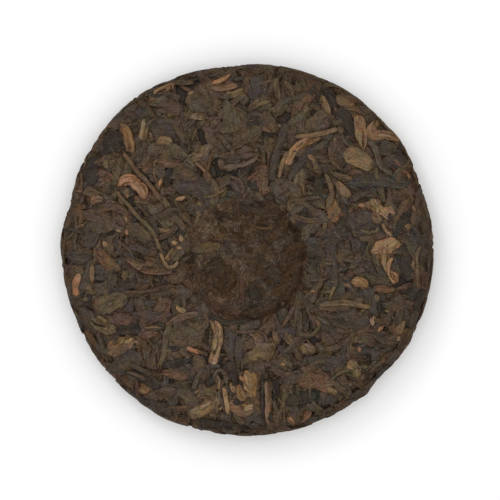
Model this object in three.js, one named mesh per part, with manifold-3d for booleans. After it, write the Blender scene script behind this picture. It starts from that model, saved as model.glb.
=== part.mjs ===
// A round cake of ripe pu erh tea, steamed leaves pressed into a hard disc, lying on its domed
// front with the flat back and the dimple of the cloth bag's knot facing up.
// Millimetres, +Z up, the origin on the table under the middle of the cake.
import * as THREE from "three";
import { mergeVertices } from "three/addons/utils/BufferGeometryUtils.js";
import Module from "manifold-3d";

// The disc
const CAKE_RADIUS = 98.5;
const CAKE_HEIGHT = 23;
const LEAF_COVER = 2; // how far the pressed leaves stand off the core
const GIRTH_HEIGHT = 12; // the widest line, above the table
const BACK_FLAT_RADIUS = 78; // the upper face is flat out to here, then rounds over
const FRONT_FLAT_RADIUS = 50; // the lower face is flat out to here, then domes up
const BACK_ROUNDNESS = 2.2; // exponents of the two superellipse shoulders
const FRONT_ROUNDNESS = 2.1;

// The dimple in the back, steeper on the side that the knot was pulled towards
const DIMPLE = { x: -1.5, y: -5, radius: 34, depth: 7, wall: 10, skew: 4.5, steepSide: -40 };

// Where the outline leaves the circle: bearing and half width in degrees, and height
const EDGE_BUMPS = [
  { bearing: 18, spread: 9, height: -0.9 },
  { bearing: 36, spread: 6, height: 0.8 },
  { bearing: 57, spread: 7, height: 0.6 },
  { bearing: 97, spread: 11, height: -1.1 },
  { bearing: 128, spread: 11, height: 1.4 },
  { bearing: 165, spread: 7, height: -1.4 },
  { bearing: 177, spread: 4, height: 0.5 },
  { bearing: 203, spread: 15, height: -0.6 },
  { bearing: 242, spread: 10, height: 1 },
  { bearing: 316, spread: 5, height: -1.3 },
  { bearing: 330, spread: 7, height: 0.4 },
];

// The leaves, as thin wavy slips half sunk in the core
const LEAF_SUNK = 2; // how deep a slip reaches under the core's surface
const LEAF_ARCH = 0.45; // how much higher a slip's middle is than its edges
const LEAF_WAVE = 0.15;
const LEAF_TIP = 0.3; // a tip's width, as a share of the slip's
const BROAD_LEAF = 5; // from this width on a slip is arched, and below it is a flat strip
const LAYERS = 4; // steps of height in which slips lie over each other
const LAYER_STEP = 0.25;
const RANDOM_SEED = 357;
const CORE_SIDES = 48;
const SHOULDER_STEPS = 5;
const WELD = 0.06; // slivers thinner than this are closed up after the join

// Slips that can be told apart on the back: place, heading, length, width and bend.
const BACK_LEAVES = [
  { x: -59.5, y: 35.5, heading: -15, length: 20, width: 4.4, bend: -115 },
  { x: -58.4, y: 17.6, heading: -52, length: 36, width: 3.2, bend: -30 },
  { x: -57.4, y: 38.5, heading: -52, length: 32, width: 3, bend: 15 },
  { x: -64.2, y: 59.5, heading: -72, length: 17, width: 3.6, bend: -20 },
  { x: -84, y: 37.5, heading: 80, length: 23, width: 8, bend: 0 },
  { x: -23.3, y: 78.3, heading: -35, length: 18, width: 10.5, bend: 0 },
  { x: -10.2, y: 73, heading: -75, length: 24, width: 10.5, bend: 10 },
  { x: -42.2, y: 63.7, heading: -15, length: 21, width: 9.4, bend: 0 },
  { x: -76.8, y: 12.8, heading: 10, length: 17, width: 10.5, bend: 0 },
  { x: 67.9, y: 60.5, heading: -45, length: 19, width: 3.6, bend: 105 },
  { x: 28, y: 56.3, heading: 46, length: 39, width: 4.8, bend: -57 },
  { x: 17, y: 48.5, heading: -102, length: 36, width: 4.7, bend: 12 },
  { x: 36.9, y: 68, heading: 42, length: 18, width: 7.3, bend: 0 },
  { x: 52.7, y: 67.3, heading: -52, length: 21, width: 7.3, bend: -15 },
  { x: 60.5, y: 62, heading: -80, length: 20, width: 6.3, bend: 0 },
  { x: 36.9, y: 33.8, heading: 85, length: 12, width: 6.8, bend: 0 },
  { x: 43.8, y: 31.2, heading: -85, length: 22, width: 3.4, bend: -75 },
  { x: 70, y: 37, heading: 0, length: 31, width: 6.8, bend: 0 },
  { x: 61, y: 48, heading: -14, length: 18, width: 7.3, bend: 0 },
  { x: 46.4, y: 20.7, heading: -82, length: 15, width: 5.2, bend: 0 },
  { x: 47.4, y: 7, heading: 25, length: 17, width: 10.5, bend: 0 },
  { x: 75.2, y: 1.3, heading: 20, length: 15, width: 6.8, bend: 0 },
  { x: -52, y: -23.3, heading: 12, length: 29, width: 4.4, bend: 0 },
  { x: -73, y: -28, heading: 20, length: 22, width: 10.5, bend: -40 },
  { x: -76.8, y: -39.6, heading: -38, length: 15, width: 8, bend: 0 },
  { x: -67.3, y: -52.7, heading: 27, length: 17, width: 5.2, bend: 0 },
  { x: -44.3, y: -53.2, heading: -100, length: 21, width: 3, bend: 0 },
  { x: -17.5, y: -47.4, heading: -90, length: 23, width: 5.8, bend: -20 },
  { x: -32.8, y: -46.4, heading: 20, length: 22, width: 14, bend: 0 },
  { x: -23.3, y: -84, heading: 32, length: 19, width: 5.8, bend: 0 },
  { x: 75.2, y: -9.7, heading: -65, length: 18, width: 3.8, bend: 35 },
  { x: 58.4, y: -29, heading: -3, length: 34, width: 3.6, bend: 0 },
  { x: 54.2, y: -38, heading: -5, length: 25, width: 10, bend: 0 },
  { x: 46.4, y: -51.6, heading: 190, length: 22, width: 3.2, bend: -100 },
  { x: 56.9, y: -63.7, heading: -60, length: 12.6, width: 7.3, bend: 0 },
  { x: 36.4, y: -71, heading: -8, length: 21, width: 7.9, bend: -30 },
  { x: 11.3, y: -82, heading: -88, length: 22, width: 3.8, bend: 0 },
  { x: 1.3, y: -71.5, heading: -78, length: 18, width: 10, bend: 0 },
  { x: 6.6, y: -55.3, heading: 20, length: 20, width: 12.6, bend: 0 },
  { x: 70, y: -71.5, heading: 43, length: 24, width: 6, bend: 14 },
];

// How many more slips each face takes, and the sizes they come in
const FACE_SLIPS = { back: 40, rim: 24, front: 43 };
const SLIP_LENGTH = { least: 17, most: 36 };
const SLIP_WIDTH = { least: 6, most: 13 };
const SLIP_PITCH = 8; // length of one facet along a slip
const RIM_BAND = 14; // width of the band round the edge whose slips follow the edge
const SPREAD_TRIES = 24; // candidates of which the one furthest from its neighbours is kept
const FOOT_SLIP = { x: 0, y: 0, heading: 25, length: 34, width: 16, bend: 0 };

const wasm = await Module();
wasm.setup();

const coreRadius = CAKE_RADIUS - LEAF_COVER;
const backHeight = CAKE_HEIGHT - LEAF_COVER;
const rad = THREE.MathUtils.degToRad;
const deg = THREE.MathUtils.radToDeg;
const clamp = THREE.MathUtils.clamp;
const smooth = (t) => THREE.MathUtils.smoothstep(t, 0, 1);

THREE.MathUtils.seededRandom(RANDOM_SEED);
const random = () => THREE.MathUtils.seededRandom();
const between = ({ least, most }, share) => least + (most - least) * share;

// Points of one face from its centre to the widest line, as radius and height.
function faceProfile(flatRadius, faceHeight, roundness) {
  const points = [new THREE.Vector2(0, faceHeight)];
  for (let i = 0; i <= SHOULDER_STEPS; i++) {
    const angle = ((Math.PI / 2) * i) / SHOULDER_STEPS;
    const out = Math.sin(angle) ** (2 / roundness);
    const up = Math.max(Math.cos(angle), 0) ** (2 / roundness);
    points.push(
      new THREE.Vector2(
        flatRadius + (coreRadius - flatRadius) * out,
        GIRTH_HEIGHT + (faceHeight - GIRTH_HEIGHT) * up,
      ),
    );
  }
  return points;
}

const backProfile = faceProfile(BACK_FLAT_RADIUS, backHeight, BACK_ROUNDNESS);
const frontProfile = faceProfile(FRONT_FLAT_RADIUS, LEAF_COVER, FRONT_ROUNDNESS);

// The whole line from the centre of one face, over the widest line, to the centre of the other.
const lines = { back: [...backProfile, ...frontProfile.toReversed().slice(1)] };
lines.front = lines.back.toReversed();

// Length along a line of points.
function lineLength(points) {
  return points.slice(1).reduce((sum, p, i) => sum + p.distanceTo(points[i]), 0);
}

// The point at a length from a face's centre along its line, and the outward normal there.
function alongLine(face, length) {
  const points = lines[face];
  const side = face === "back" ? 1 : -1;
  let left = length;
  for (let i = 1; i < points.length; i++) {
    const step = points[i].clone().sub(points[i - 1]);
    const size = step.length();
    if (left <= size || i === points.length - 1) {
      const place = points[i - 1].clone().addScaledVector(step, left / size);
      return { place, normal: new THREE.Vector2((-side * step.y) / size, (side * step.x) / size) };
    }
    left -= size;
  }
}

// How far the outline stands out from the circle at a bearing.
function edgeBump(bearing) {
  return EDGE_BUMPS.reduce((sum, bump) => {
    const away = Math.abs(THREE.MathUtils.euclideanModulo(bearing - bump.bearing + 180, 360) - 180);
    return sum + bump.height * Math.exp(-((away / bump.spread) ** 2));
  }, 0);
}

function dimpleDepth(x, y) {
  const dx = x - DIMPLE.x;
  const dy = y - DIMPLE.y;
  const wall = DIMPLE.wall - DIMPLE.skew * Math.cos(Math.atan2(dy, dx) - rad(DIMPLE.steepSide));
  return DIMPLE.depth * smooth((DIMPLE.radius - Math.hypot(dx, dy)) / wall);
}

// Takes a point of a face laid out flat, as seen from outside, at a height over it, to its place
// on the cake.
function onFace(face, x, y, lift) {
  const { place, normal } = alongLine(face, Math.hypot(x, y));
  const angle = Math.atan2(face === "back" ? y : -y, x);
  const bump = edgeBump(deg(angle)) * (place.x / coreRadius) ** 3;
  const radius = place.x + normal.x * lift + bump;
  const px = radius * Math.cos(angle);
  const py = radius * Math.sin(angle);
  const sunk = face === "back" ? dimpleDepth(px, py) : 0;
  return new THREE.Vector3(px, py, place.y + normal.y * lift - sunk);
}

// A closed geometry as a solid, with its shared corners merged and its flat triangles dropped.
function solidOf(geometry) {
  geometry.deleteAttribute("normal");
  geometry.deleteAttribute("uv");
  const merged = mergeVertices(geometry, 1e-4);
  const index = merged.index.array;
  const kept = [];
  for (let i = 0; i < index.length; i += 3) {
    const [a, b, c] = [index[i], index[i + 1], index[i + 2]];
    if (a !== b && b !== c && c !== a) kept.push(a, b, c);
  }
  const vertProperties = new Float32Array(merged.attributes.position.array);
  return new wasm.Manifold(
    new wasm.Mesh({ numProp: 3, vertProperties, triVerts: new Uint32Array(kept) }),
  );
}

// The core: a lathed disc whose rings close in on the dimple and whose outline is uneven.
function coreSolid() {
  const dimpleRings = [0, 0.45, 0.68, 0.79, 0.9, 1].map((s) => s * DIMPLE.radius);
  const backRings = [...dimpleRings, 50, 66];
  const frontRings = [0, 30];
  const profile = [
    ...frontRings.map((r) => new THREE.Vector2(r, LEAF_COVER)),
    ...frontProfile.slice(1),
    ...backProfile.slice(1, -1).toReversed(),
    ...backRings.reverse().map((r) => new THREE.Vector2(r, backHeight)),
  ];
  const disc = new THREE.LatheGeometry(profile, CORE_SIDES);
  disc.rotateX(Math.PI / 2);
  const position = disc.attributes.position;
  for (let i = 0; i < position.count; i++) {
    let [x, y, z] = [position.getX(i), position.getY(i), position.getZ(i)];
    const radius = Math.hypot(x, y);
    const angle = Math.atan2(y, x);
    if (z > backHeight - 1e-3) {
      const off = 1 - smooth((radius - DIMPLE.radius) / (BACK_FLAT_RADIUS - DIMPLE.radius));
      x += DIMPLE.x * off;
      y += DIMPLE.y * off;
      z -= dimpleDepth(x, y);
    }
    const bump = edgeBump(deg(angle)) * (radius / coreRadius) ** 3;
    position.setXYZ(i, x + bump * Math.cos(angle), y + bump * Math.sin(angle), z);
  }
  return disc;
}

// A slip: a box split alike on both faces, narrowed to its tips, bent along its length, arched
// and waved, and laid on a face of the cake at its layer's height.
function leafSolid(face, leaf, layer) {
  const long = clamp(Math.round(leaf.length / SLIP_PITCH), 2, 5);
  const wide = leaf.width < BROAD_LEAF ? 1 : 2;
  const box = new THREE.BoxGeometry(leaf.length, leaf.width, 1, long, wide, 1);
  const bend = rad(leaf.bend);
  const heading = rad(leaf.heading);
  const wave = random() * Math.PI * 2;
  const top = LEAF_COVER - LAYER_STEP * (LAYERS - 1 - layer);
  const position = box.attributes.position;
  for (let i = 0; i < position.count; i++) {
    const along = position.getX(i) / leaf.length;
    const narrowed = Math.sqrt(Math.max(1 - (2 * Math.abs(along)) ** 2.4, LEAF_TIP ** 2));
    const across = position.getY(i) * narrowed;
    const turn = bend * along;
    const chord = Math.abs(bend) < 0.02 ? leaf.length * along : (Math.sin(turn) * leaf.length) / bend;
    const bow = Math.abs(bend) < 0.02 ? 0 : ((1 - Math.cos(turn)) * leaf.length) / bend;
    const u = chord - Math.sin(turn) * across;
    const v = bow + Math.cos(turn) * across;
    const x = leaf.x + u * Math.cos(heading) - v * Math.sin(heading);
    const y = leaf.y + u * Math.sin(heading) + v * Math.cos(heading);
    const edge = (2 * position.getY(i)) / leaf.width;
    const fall = wide === 1 ? 0 : LEAF_ARCH * edge * edge;
    const relief = LEAF_WAVE * Math.sin(wave + along * 9 + edge) - fall;
    const lift = position.getZ(i) > 0 ? top + relief : -LEAF_SUNK;
    position.setXYZ(i, ...onFace(face, x, y, lift));
  }
  return box;
}

// Further slips on a band of a face, each where it is furthest from those already there. On the
// edge of the cake and on the wall of the dimple they run round it.
function spreadSlips(count, taken, inner, outer, alongEdge, onBack) {
  for (let n = 0; n < count; n++) {
    let best = null;
    for (let i = 0; i < SPREAD_TRIES; i++) {
      const radius = Math.sqrt(between({ least: inner ** 2, most: outer ** 2 }, random()));
      const angle = random() * Math.PI * 2;
      const spot = { x: radius * Math.cos(angle), y: radius * Math.sin(angle), angle };
      const room = Math.min(...taken.map((t) => Math.hypot(t.x - spot.x, t.y - spot.y)), 1e3);
      if (!best || room > best.room) best = { ...spot, room };
    }
    const length = between(SLIP_LENGTH, random() ** 1.5);
    const width = between(SLIP_WIDTH, random());
    const slack = (random() - 0.5) * 50;
    const fromDimple = Math.hypot(best.x - DIMPLE.x, best.y - DIMPLE.y);
    if (alongEdge) {
      best = { ...best, heading: deg(best.angle) + 90 + slack, bend: slack };
    } else if (onBack && Math.abs(fromDimple - DIMPLE.radius + DIMPLE.wall / 2) < DIMPLE.wall) {
      const around = Math.atan2(best.y - DIMPLE.y, best.x - DIMPLE.x);
      best = { ...best, heading: deg(around) + 90, bend: deg(length / fromDimple) };
    } else {
      best = { ...best, heading: random() * 360, bend: slack };
    }
    taken.push({ ...best, length, width });
  }
  return taken;
}

const backEdge = lineLength(backProfile);
const frontEdge = lineLength(frontProfile);
const rimBand = [backEdge - RIM_BAND / 2, backEdge + RIM_BAND / 4];
const backSlips = spreadSlips(FACE_SLIPS.back, [...BACK_LEAVES], 0, backEdge - RIM_BAND, false, true);
const rimSlips = spreadSlips(FACE_SLIPS.rim, [], ...rimBand, true, true);
const frontSlips = spreadSlips(FACE_SLIPS.front, [FOOT_SLIP], 14, frontEdge - RIM_BAND / 2, false, false);

// One pressed solid of the core and every slip, cut level where it lies on the table.
function teaCake() {
  const slips = [
    ...backSlips.map((leaf, i) => leafSolid("back", leaf, i % LAYERS)),
    ...rimSlips.map((leaf, i) => leafSolid("back", leaf, i % LAYERS)),
    ...frontSlips.map((leaf, i) => leafSolid("front", leaf, i === 0 ? LAYERS : i % LAYERS)),
  ];
  const joined = slips.reduce((whole, slip) => whole.add(solidOf(slip)), solidOf(coreSolid()));
  const table = new THREE.BoxGeometry(4 * CAKE_RADIUS, 4 * CAKE_RADIUS, CAKE_HEIGHT);
  table.translate(0, 0, -CAKE_HEIGHT / 2);
  const level = joined.subtract(solidOf(table)).simplify(WELD);
  const whole = level.decompose().sort((a, b) => b.volume() - a.volume())[0];
  const mesh = whole.getMesh();
  const geometry = new THREE.BufferGeometry();
  geometry.setAttribute("position", new THREE.BufferAttribute(mesh.vertProperties, 3));
  geometry.setIndex(new THREE.BufferAttribute(mesh.triVerts, 1));
  geometry.computeBoundingBox();
  const middle = geometry.boundingBox.getCenter(new THREE.Vector3());
  geometry.translate(-middle.x, -middle.y, 0);
  geometry.computeVertexNormals();
  return geometry;
}

const pressedTea = new THREE.MeshStandardMaterial({
  color: new THREE.Color(0.29, 0.235, 0.185),
  roughness: 0.62,
  metalness: 0,
  flatShading: true,
});

const cake = new THREE.Mesh(teaCake(), pressedTea);
cake.name = "tea_cake";

const group = new THREE.Group();
group.add(cake);
export default group;
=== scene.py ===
"""A round cake of ripe pu erh tea: steamed leaves pressed into a hard disc.

It lies on its domed front, so the flat back with the dimple of the cloth bag's knot faces up.
Lengths are in millimetres and angles in degrees until a mesh is made. A face of the cake is laid
out flat round its centre for placing leaves, and on_cake takes a point of that sheet to its place.
"""

import math

import bpy
import numpy as np
from bpy.props import FloatProperty, FloatVectorProperty, IntProperty, PointerProperty
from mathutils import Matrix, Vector


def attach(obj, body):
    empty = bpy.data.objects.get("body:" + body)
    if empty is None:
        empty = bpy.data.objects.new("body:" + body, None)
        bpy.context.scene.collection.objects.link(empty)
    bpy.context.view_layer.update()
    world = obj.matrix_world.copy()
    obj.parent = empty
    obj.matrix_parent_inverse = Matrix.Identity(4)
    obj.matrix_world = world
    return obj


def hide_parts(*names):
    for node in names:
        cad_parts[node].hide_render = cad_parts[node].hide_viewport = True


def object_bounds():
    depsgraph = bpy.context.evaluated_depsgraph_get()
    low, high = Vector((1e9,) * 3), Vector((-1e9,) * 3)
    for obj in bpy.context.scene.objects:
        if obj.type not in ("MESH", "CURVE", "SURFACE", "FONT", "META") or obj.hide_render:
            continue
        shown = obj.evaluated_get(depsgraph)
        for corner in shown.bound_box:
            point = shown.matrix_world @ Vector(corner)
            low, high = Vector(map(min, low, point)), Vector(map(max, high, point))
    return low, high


bl_info = {
    "name": "Pressed tea cake",
    "version": (1, 0, 0),
    "blender": (4, 5, 0),
    "location": "3D View > Sidebar > Tea cake",
    "description": "Presses tea leaves into a round cake",
    "category": "Add Mesh",
}

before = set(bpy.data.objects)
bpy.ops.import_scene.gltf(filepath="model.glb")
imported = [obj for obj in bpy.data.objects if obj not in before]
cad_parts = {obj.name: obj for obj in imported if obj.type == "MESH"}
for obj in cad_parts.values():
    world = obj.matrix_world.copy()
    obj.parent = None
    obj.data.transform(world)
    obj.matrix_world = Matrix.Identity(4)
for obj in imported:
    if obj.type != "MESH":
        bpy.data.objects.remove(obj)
cad_low, cad_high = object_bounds()

MM = 0.001
FRONT_TO_GIRTH = 12.0  # height of the widest line
BACK_FLAT_RADIUS = 78.0
FRONT_FLAT_RADIUS = 50.0
BACK_ROUNDNESS = 2.2
FRONT_ROUNDNESS = 2.1
SHOULDER_STEPS = 24
MERIDIAN_POINTS = 600

# The dimple, steeper on the side that the knot was pulled towards
DIMPLE_X, DIMPLE_Y = -1.5, -5.0
DIMPLE_RADIUS = 34.0
DIMPLE_DEPTH = 7.0
DIMPLE_WALL = 10.0
DIMPLE_SKEW = 4.5
DIMPLE_STEEP_SIDE = -40.0
DIMPLE_RIM = 31.0  # leaves laid outside this radius are cut off at it
DIMPLE_BARE = 0.75  # share of the leaves inside that turned to felt
DIMPLE_RAISE = 0.2  # how far the leaves that can be told apart stand over the felt
FELT_RADIUS = 36.0
FELT_THICKNESS = 0.7
FELT_RINGS, FELT_SIDES = 72, 230
FELT_EDGE = 4.0  # how wide its rim is that sinks under the leaves
FELT_SINK = 1.6  # and how far it sinks
FELT_ROUGHNESS = ((0.35, 0.10), (1.0, 0.12), (2.6, 0.16))  # spans of its bumps and their heights
FELT_BEND = 1.6  # how far the edges of its patches wander
FELT_WALL = 26.0  # where the steep part of its side starts

# Where the outline leaves the circle: bearing, half width and height
EDGE_BUMPS = (
    (18, 9, -0.9), (36, 6, 0.8), (57, 7, 0.6), (97, 11, -1.1), (128, 11, 1.4), (165, 7, -1.4),
    (177, 4, 0.5), (203, 15, -0.6), (242, 10, 1.0), (309.5, 1.8, 1.1), (316, 5, -1.3), (330, 7, 0.4),
)

# How the leaves lie on each other
PILE_CELL = 0.5  # cell of the grid that holds the height of the pile
PRESS_SPAN = 6.0  # unevenness wider than this is pressed out
TOP_RELIEF = 0.4  # how far a leaf's top stands over the pressed surface
GAP_RELIEF = 1.7  # how far the gaps between leaves go down
DIMPLE_RELIEF = 0.3  # share of the relief that the cloth left in the dimple
EDGE_DROP = 0.4  # how far a leaf's edge lies under what it rests on
KEEL_DROP = 0.9  # how far the hidden underside of a leaf goes down
KNOWN_WIDER = 1.1  # known leaves start wider than their rows say, as they narrow towards their ends
FUZZ_REACH = 60  # reach of the grid that smooth random values are read from
LINE_POINTS = 25  # points of a loose leaf's middle line
STATION_STEP = 1.4  # length of a leaf between its stations
MOST_STATIONS = 26
FRONT_FINENESS = 0.6  # share of the back's stations along a leaf that one on the front has
STIFFNESS = 0.75  # share of the small unevenness below that a leaf bridges
CHIP_LENGTH = 5  # shorter leaves are chips
SMALL_LENGTH = 6  # shorter known leaves are flatter
JAGGED = 0.05  # how far the sides of a leaf jump from station to station
WIDEST = 0.62  # most width of a loose leaf for its length
EDGE_BAND = 10  # loose leaves this near to where a face ends run round the cake
TWISTED_WIDTH = 3.2  # narrower leaves are twisted up like a cord
BROAD_WIDTH = 7
LEAF_EDGE_SHADE_WIDTH = 0.5  # width of the painted shade along a leaf's edge
DIMPLE_LEAF = 0.5  # thickness of a leaf in the dimple, whose underside follows its top

# Tones of leaf: colour as it shows, how much it varies, and the kind of piece it belongs to
TONES = {
    "black": ((45, 40, 35), 0.08, "black_leaves_and_gap_shade"),
    # gap: thin dark strips laid where gaps between leaves are, painted shade of the gaps, in the piece of
    # black leaves
    "gap": ((36, 28, 21), 0.10, "black_leaves_and_gap_shade"),
    "slate": ((62, 55, 49), 0.05, "slate_leaves"),
    "umber": ((76, 64, 53), 0.05, "brown_leaves"),
    "bark": ((69, 57, 47), 0.05, "bark_leaves"),
    "olive": ((77, 66, 53), 0.05, "olive_leaves"),
    "ochre": ((93, 78, 61), 0.07, "olive_leaves"),
    "maroon": ((75, 60, 49), 0.05, "russet_leaves"),
    "russet": ((86, 66, 52), 0.06, "russet_leaves"),
    "tawny": ((104, 84, 64), 0.07, "golden_leaves"),
    "amber": ((110, 84, 60), 0.06, "golden_leaves"),
    "gold": ((124, 101, 78), 0.06, "golden_leaves"),
    "orange": ((130, 98, 74), 0.06, "golden_leaves"),
    "stem": ((90, 74, 58), 0.08, "stems"),
    "twig": ((74, 60, 48), 0.08, "stems"),
}
PATCH_TONES = {"slate": 3, "umber": 4, "bark": 4, "olive": 3, "maroon": 2, "ochre": 2, "russet": 1}
DIMPLE_TINT = (74, 58, 43)
WALL_TINT = (76, 52, 34)
DIMPLE_SHADE = 0.58  # share of the light that the skin of the dimple keeps
EDGE_SHADE = 0.25  # painted shade: how much darker the rounded edge of the cake is
EDGE_START, EDGE_SPAN = 88.0, 8.0  # radius where it starts to darken, and over how far
LINE_SHADE = 0.96  # painted shade: how much darker the line along a leaf's edge is
SUNK_SHADE = 0.5  # painted shade: how much darker a leaf is where others stand over it
SUNK_START, SUNK_SPAN = 0.25, 0.6  # how far others stand over it where that starts, and over how far
UNDERSIDE_SHADE = 0.3  # share of the light that the hidden underside of a leaf keeps
CREST_SHADE = {"golden_leaves": 0.2}  # painted light and shade of a leaf's folds: how much paler its crests and darker its hollows are
PLAIN_CREST_SHADE = 0.07
GROUND_TONES = {"black": 8, "slate": 22, "umber": 26, "bark": 16, "olive": 14, "maroon": 8}
LEAF_TONES = {
    "black": 5, "slate": 15, "umber": 25, "bark": 14, "olive": 14, "maroon": 8, "ochre": 4, "russet": 4,
    "tawny": 1,
}
STEM_TONES = {"stem": 3, "twig": 6, "umber": 4, "slate": 3, "tawny": 1}
CRUMB_TONES = {"umber": 8, "bark": 5, "slate": 5, "ochre": 2, "russet": 2, "tawny": 1, "gold": 0.1}

# Sizes of the sorts of loose leaf: least and greatest length, then width
GROUND_SIZE = ((18, 40), (8, 14))
BROAD_SIZE = ((14, 30), (7.5, 12))
FOLDED_SIZE = ((11, 32), (3.2, 10))
NARROW_SIZE = ((8, 28), (1.4, 3.2))
CRUMB_SIZE = ((1, 4.2), (0.8, 2.2))

# Patches of the felt that the cloth pressed into the dimple: middle, half widths and tone
FELT_PATCHES = (
    (6, 2, 9, 4, "bark"), (0, -9, 6, 4, "bark"), (14, -14, 8, 7, "slate"), (-1, -29, 12, 6, "bark"),
    (3.5, -23, 4.5, 7, "black"), (-4, -22, 2, 7, "russet"), (-16, 21.5, 6, 3.5, "gold"),
    (-22, -6, 5, 5, "ochre"), (-30, 1, 6, 5, "tawny"), (-30, -19, 4, 6, "russet"),
    (25, -19, 5, 7, "russet"), (29, 0, 3, 10, "maroon"), (-11, 1, 7, 5, "olive"),
    (-28, -9, 3, 5, "slate"), (-12, 9, 6, 4, "umber"), (3, 24, 9, 4, "slate"), (-22, 13, 7, 5, "ochre"),
    (-4, -34, 7, 2, "russet"), (-19, -27, 6, 6, "russet"), (13, -28, 8, 4, "bark"),
    (16, 8, 6, 6, "umber"),
)

# The pieces: name of the material, contrast of its streaks, its sheen and how rough its grain is
LOOKS = {
    "black_leaves_and_gap_shade": ("black_leaf_and_gap_shade", 0.16, 0.09, 1.0),
    "slate_leaves": ("slate_leaf", 0.16, 0.08, 1.0),
    "brown_leaves": ("brown_leaf", 0.2, 0.03, 1.0),
    "bark_leaves": ("bark_leaf", 0.2, 0.03, 1.0),
    "olive_leaves": ("olive_leaf", 0.22, 0.03, 1.0),
    "russet_leaves": ("russet_leaf", 0.22, 0.03, 1.0),
    "golden_leaves": ("golden_bud", 0.34, 0.03, 0.4),
    "stems": ("stem", 0.3, 0.03, 0.7),
}

# Screen colours of what shows on a leaf, on the felt and on the core
# Painted shade in a leaf's folds and cracks
CREASE_SHADE_COLOUR = (42, 27, 16)
DUST_COLOUR = (84, 70, 56)
# Painted glints on a leaf
GLINT_COLOUR = (150, 128, 104)
FELT_SPECK_COLOUR = (130, 105, 82)
CORE_CRUMB_COLOUR = (62, 50, 40)

# Factors on red, green and blue between which a leaf's surface varies
COOLER, WARMER = (0.92, 0.985, 1.11), (1.07, 1.01, 0.83)
GREENER, REDDER = (0.96, 1.04, 0.93), (1.05, 0.955, 1.05)

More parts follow.
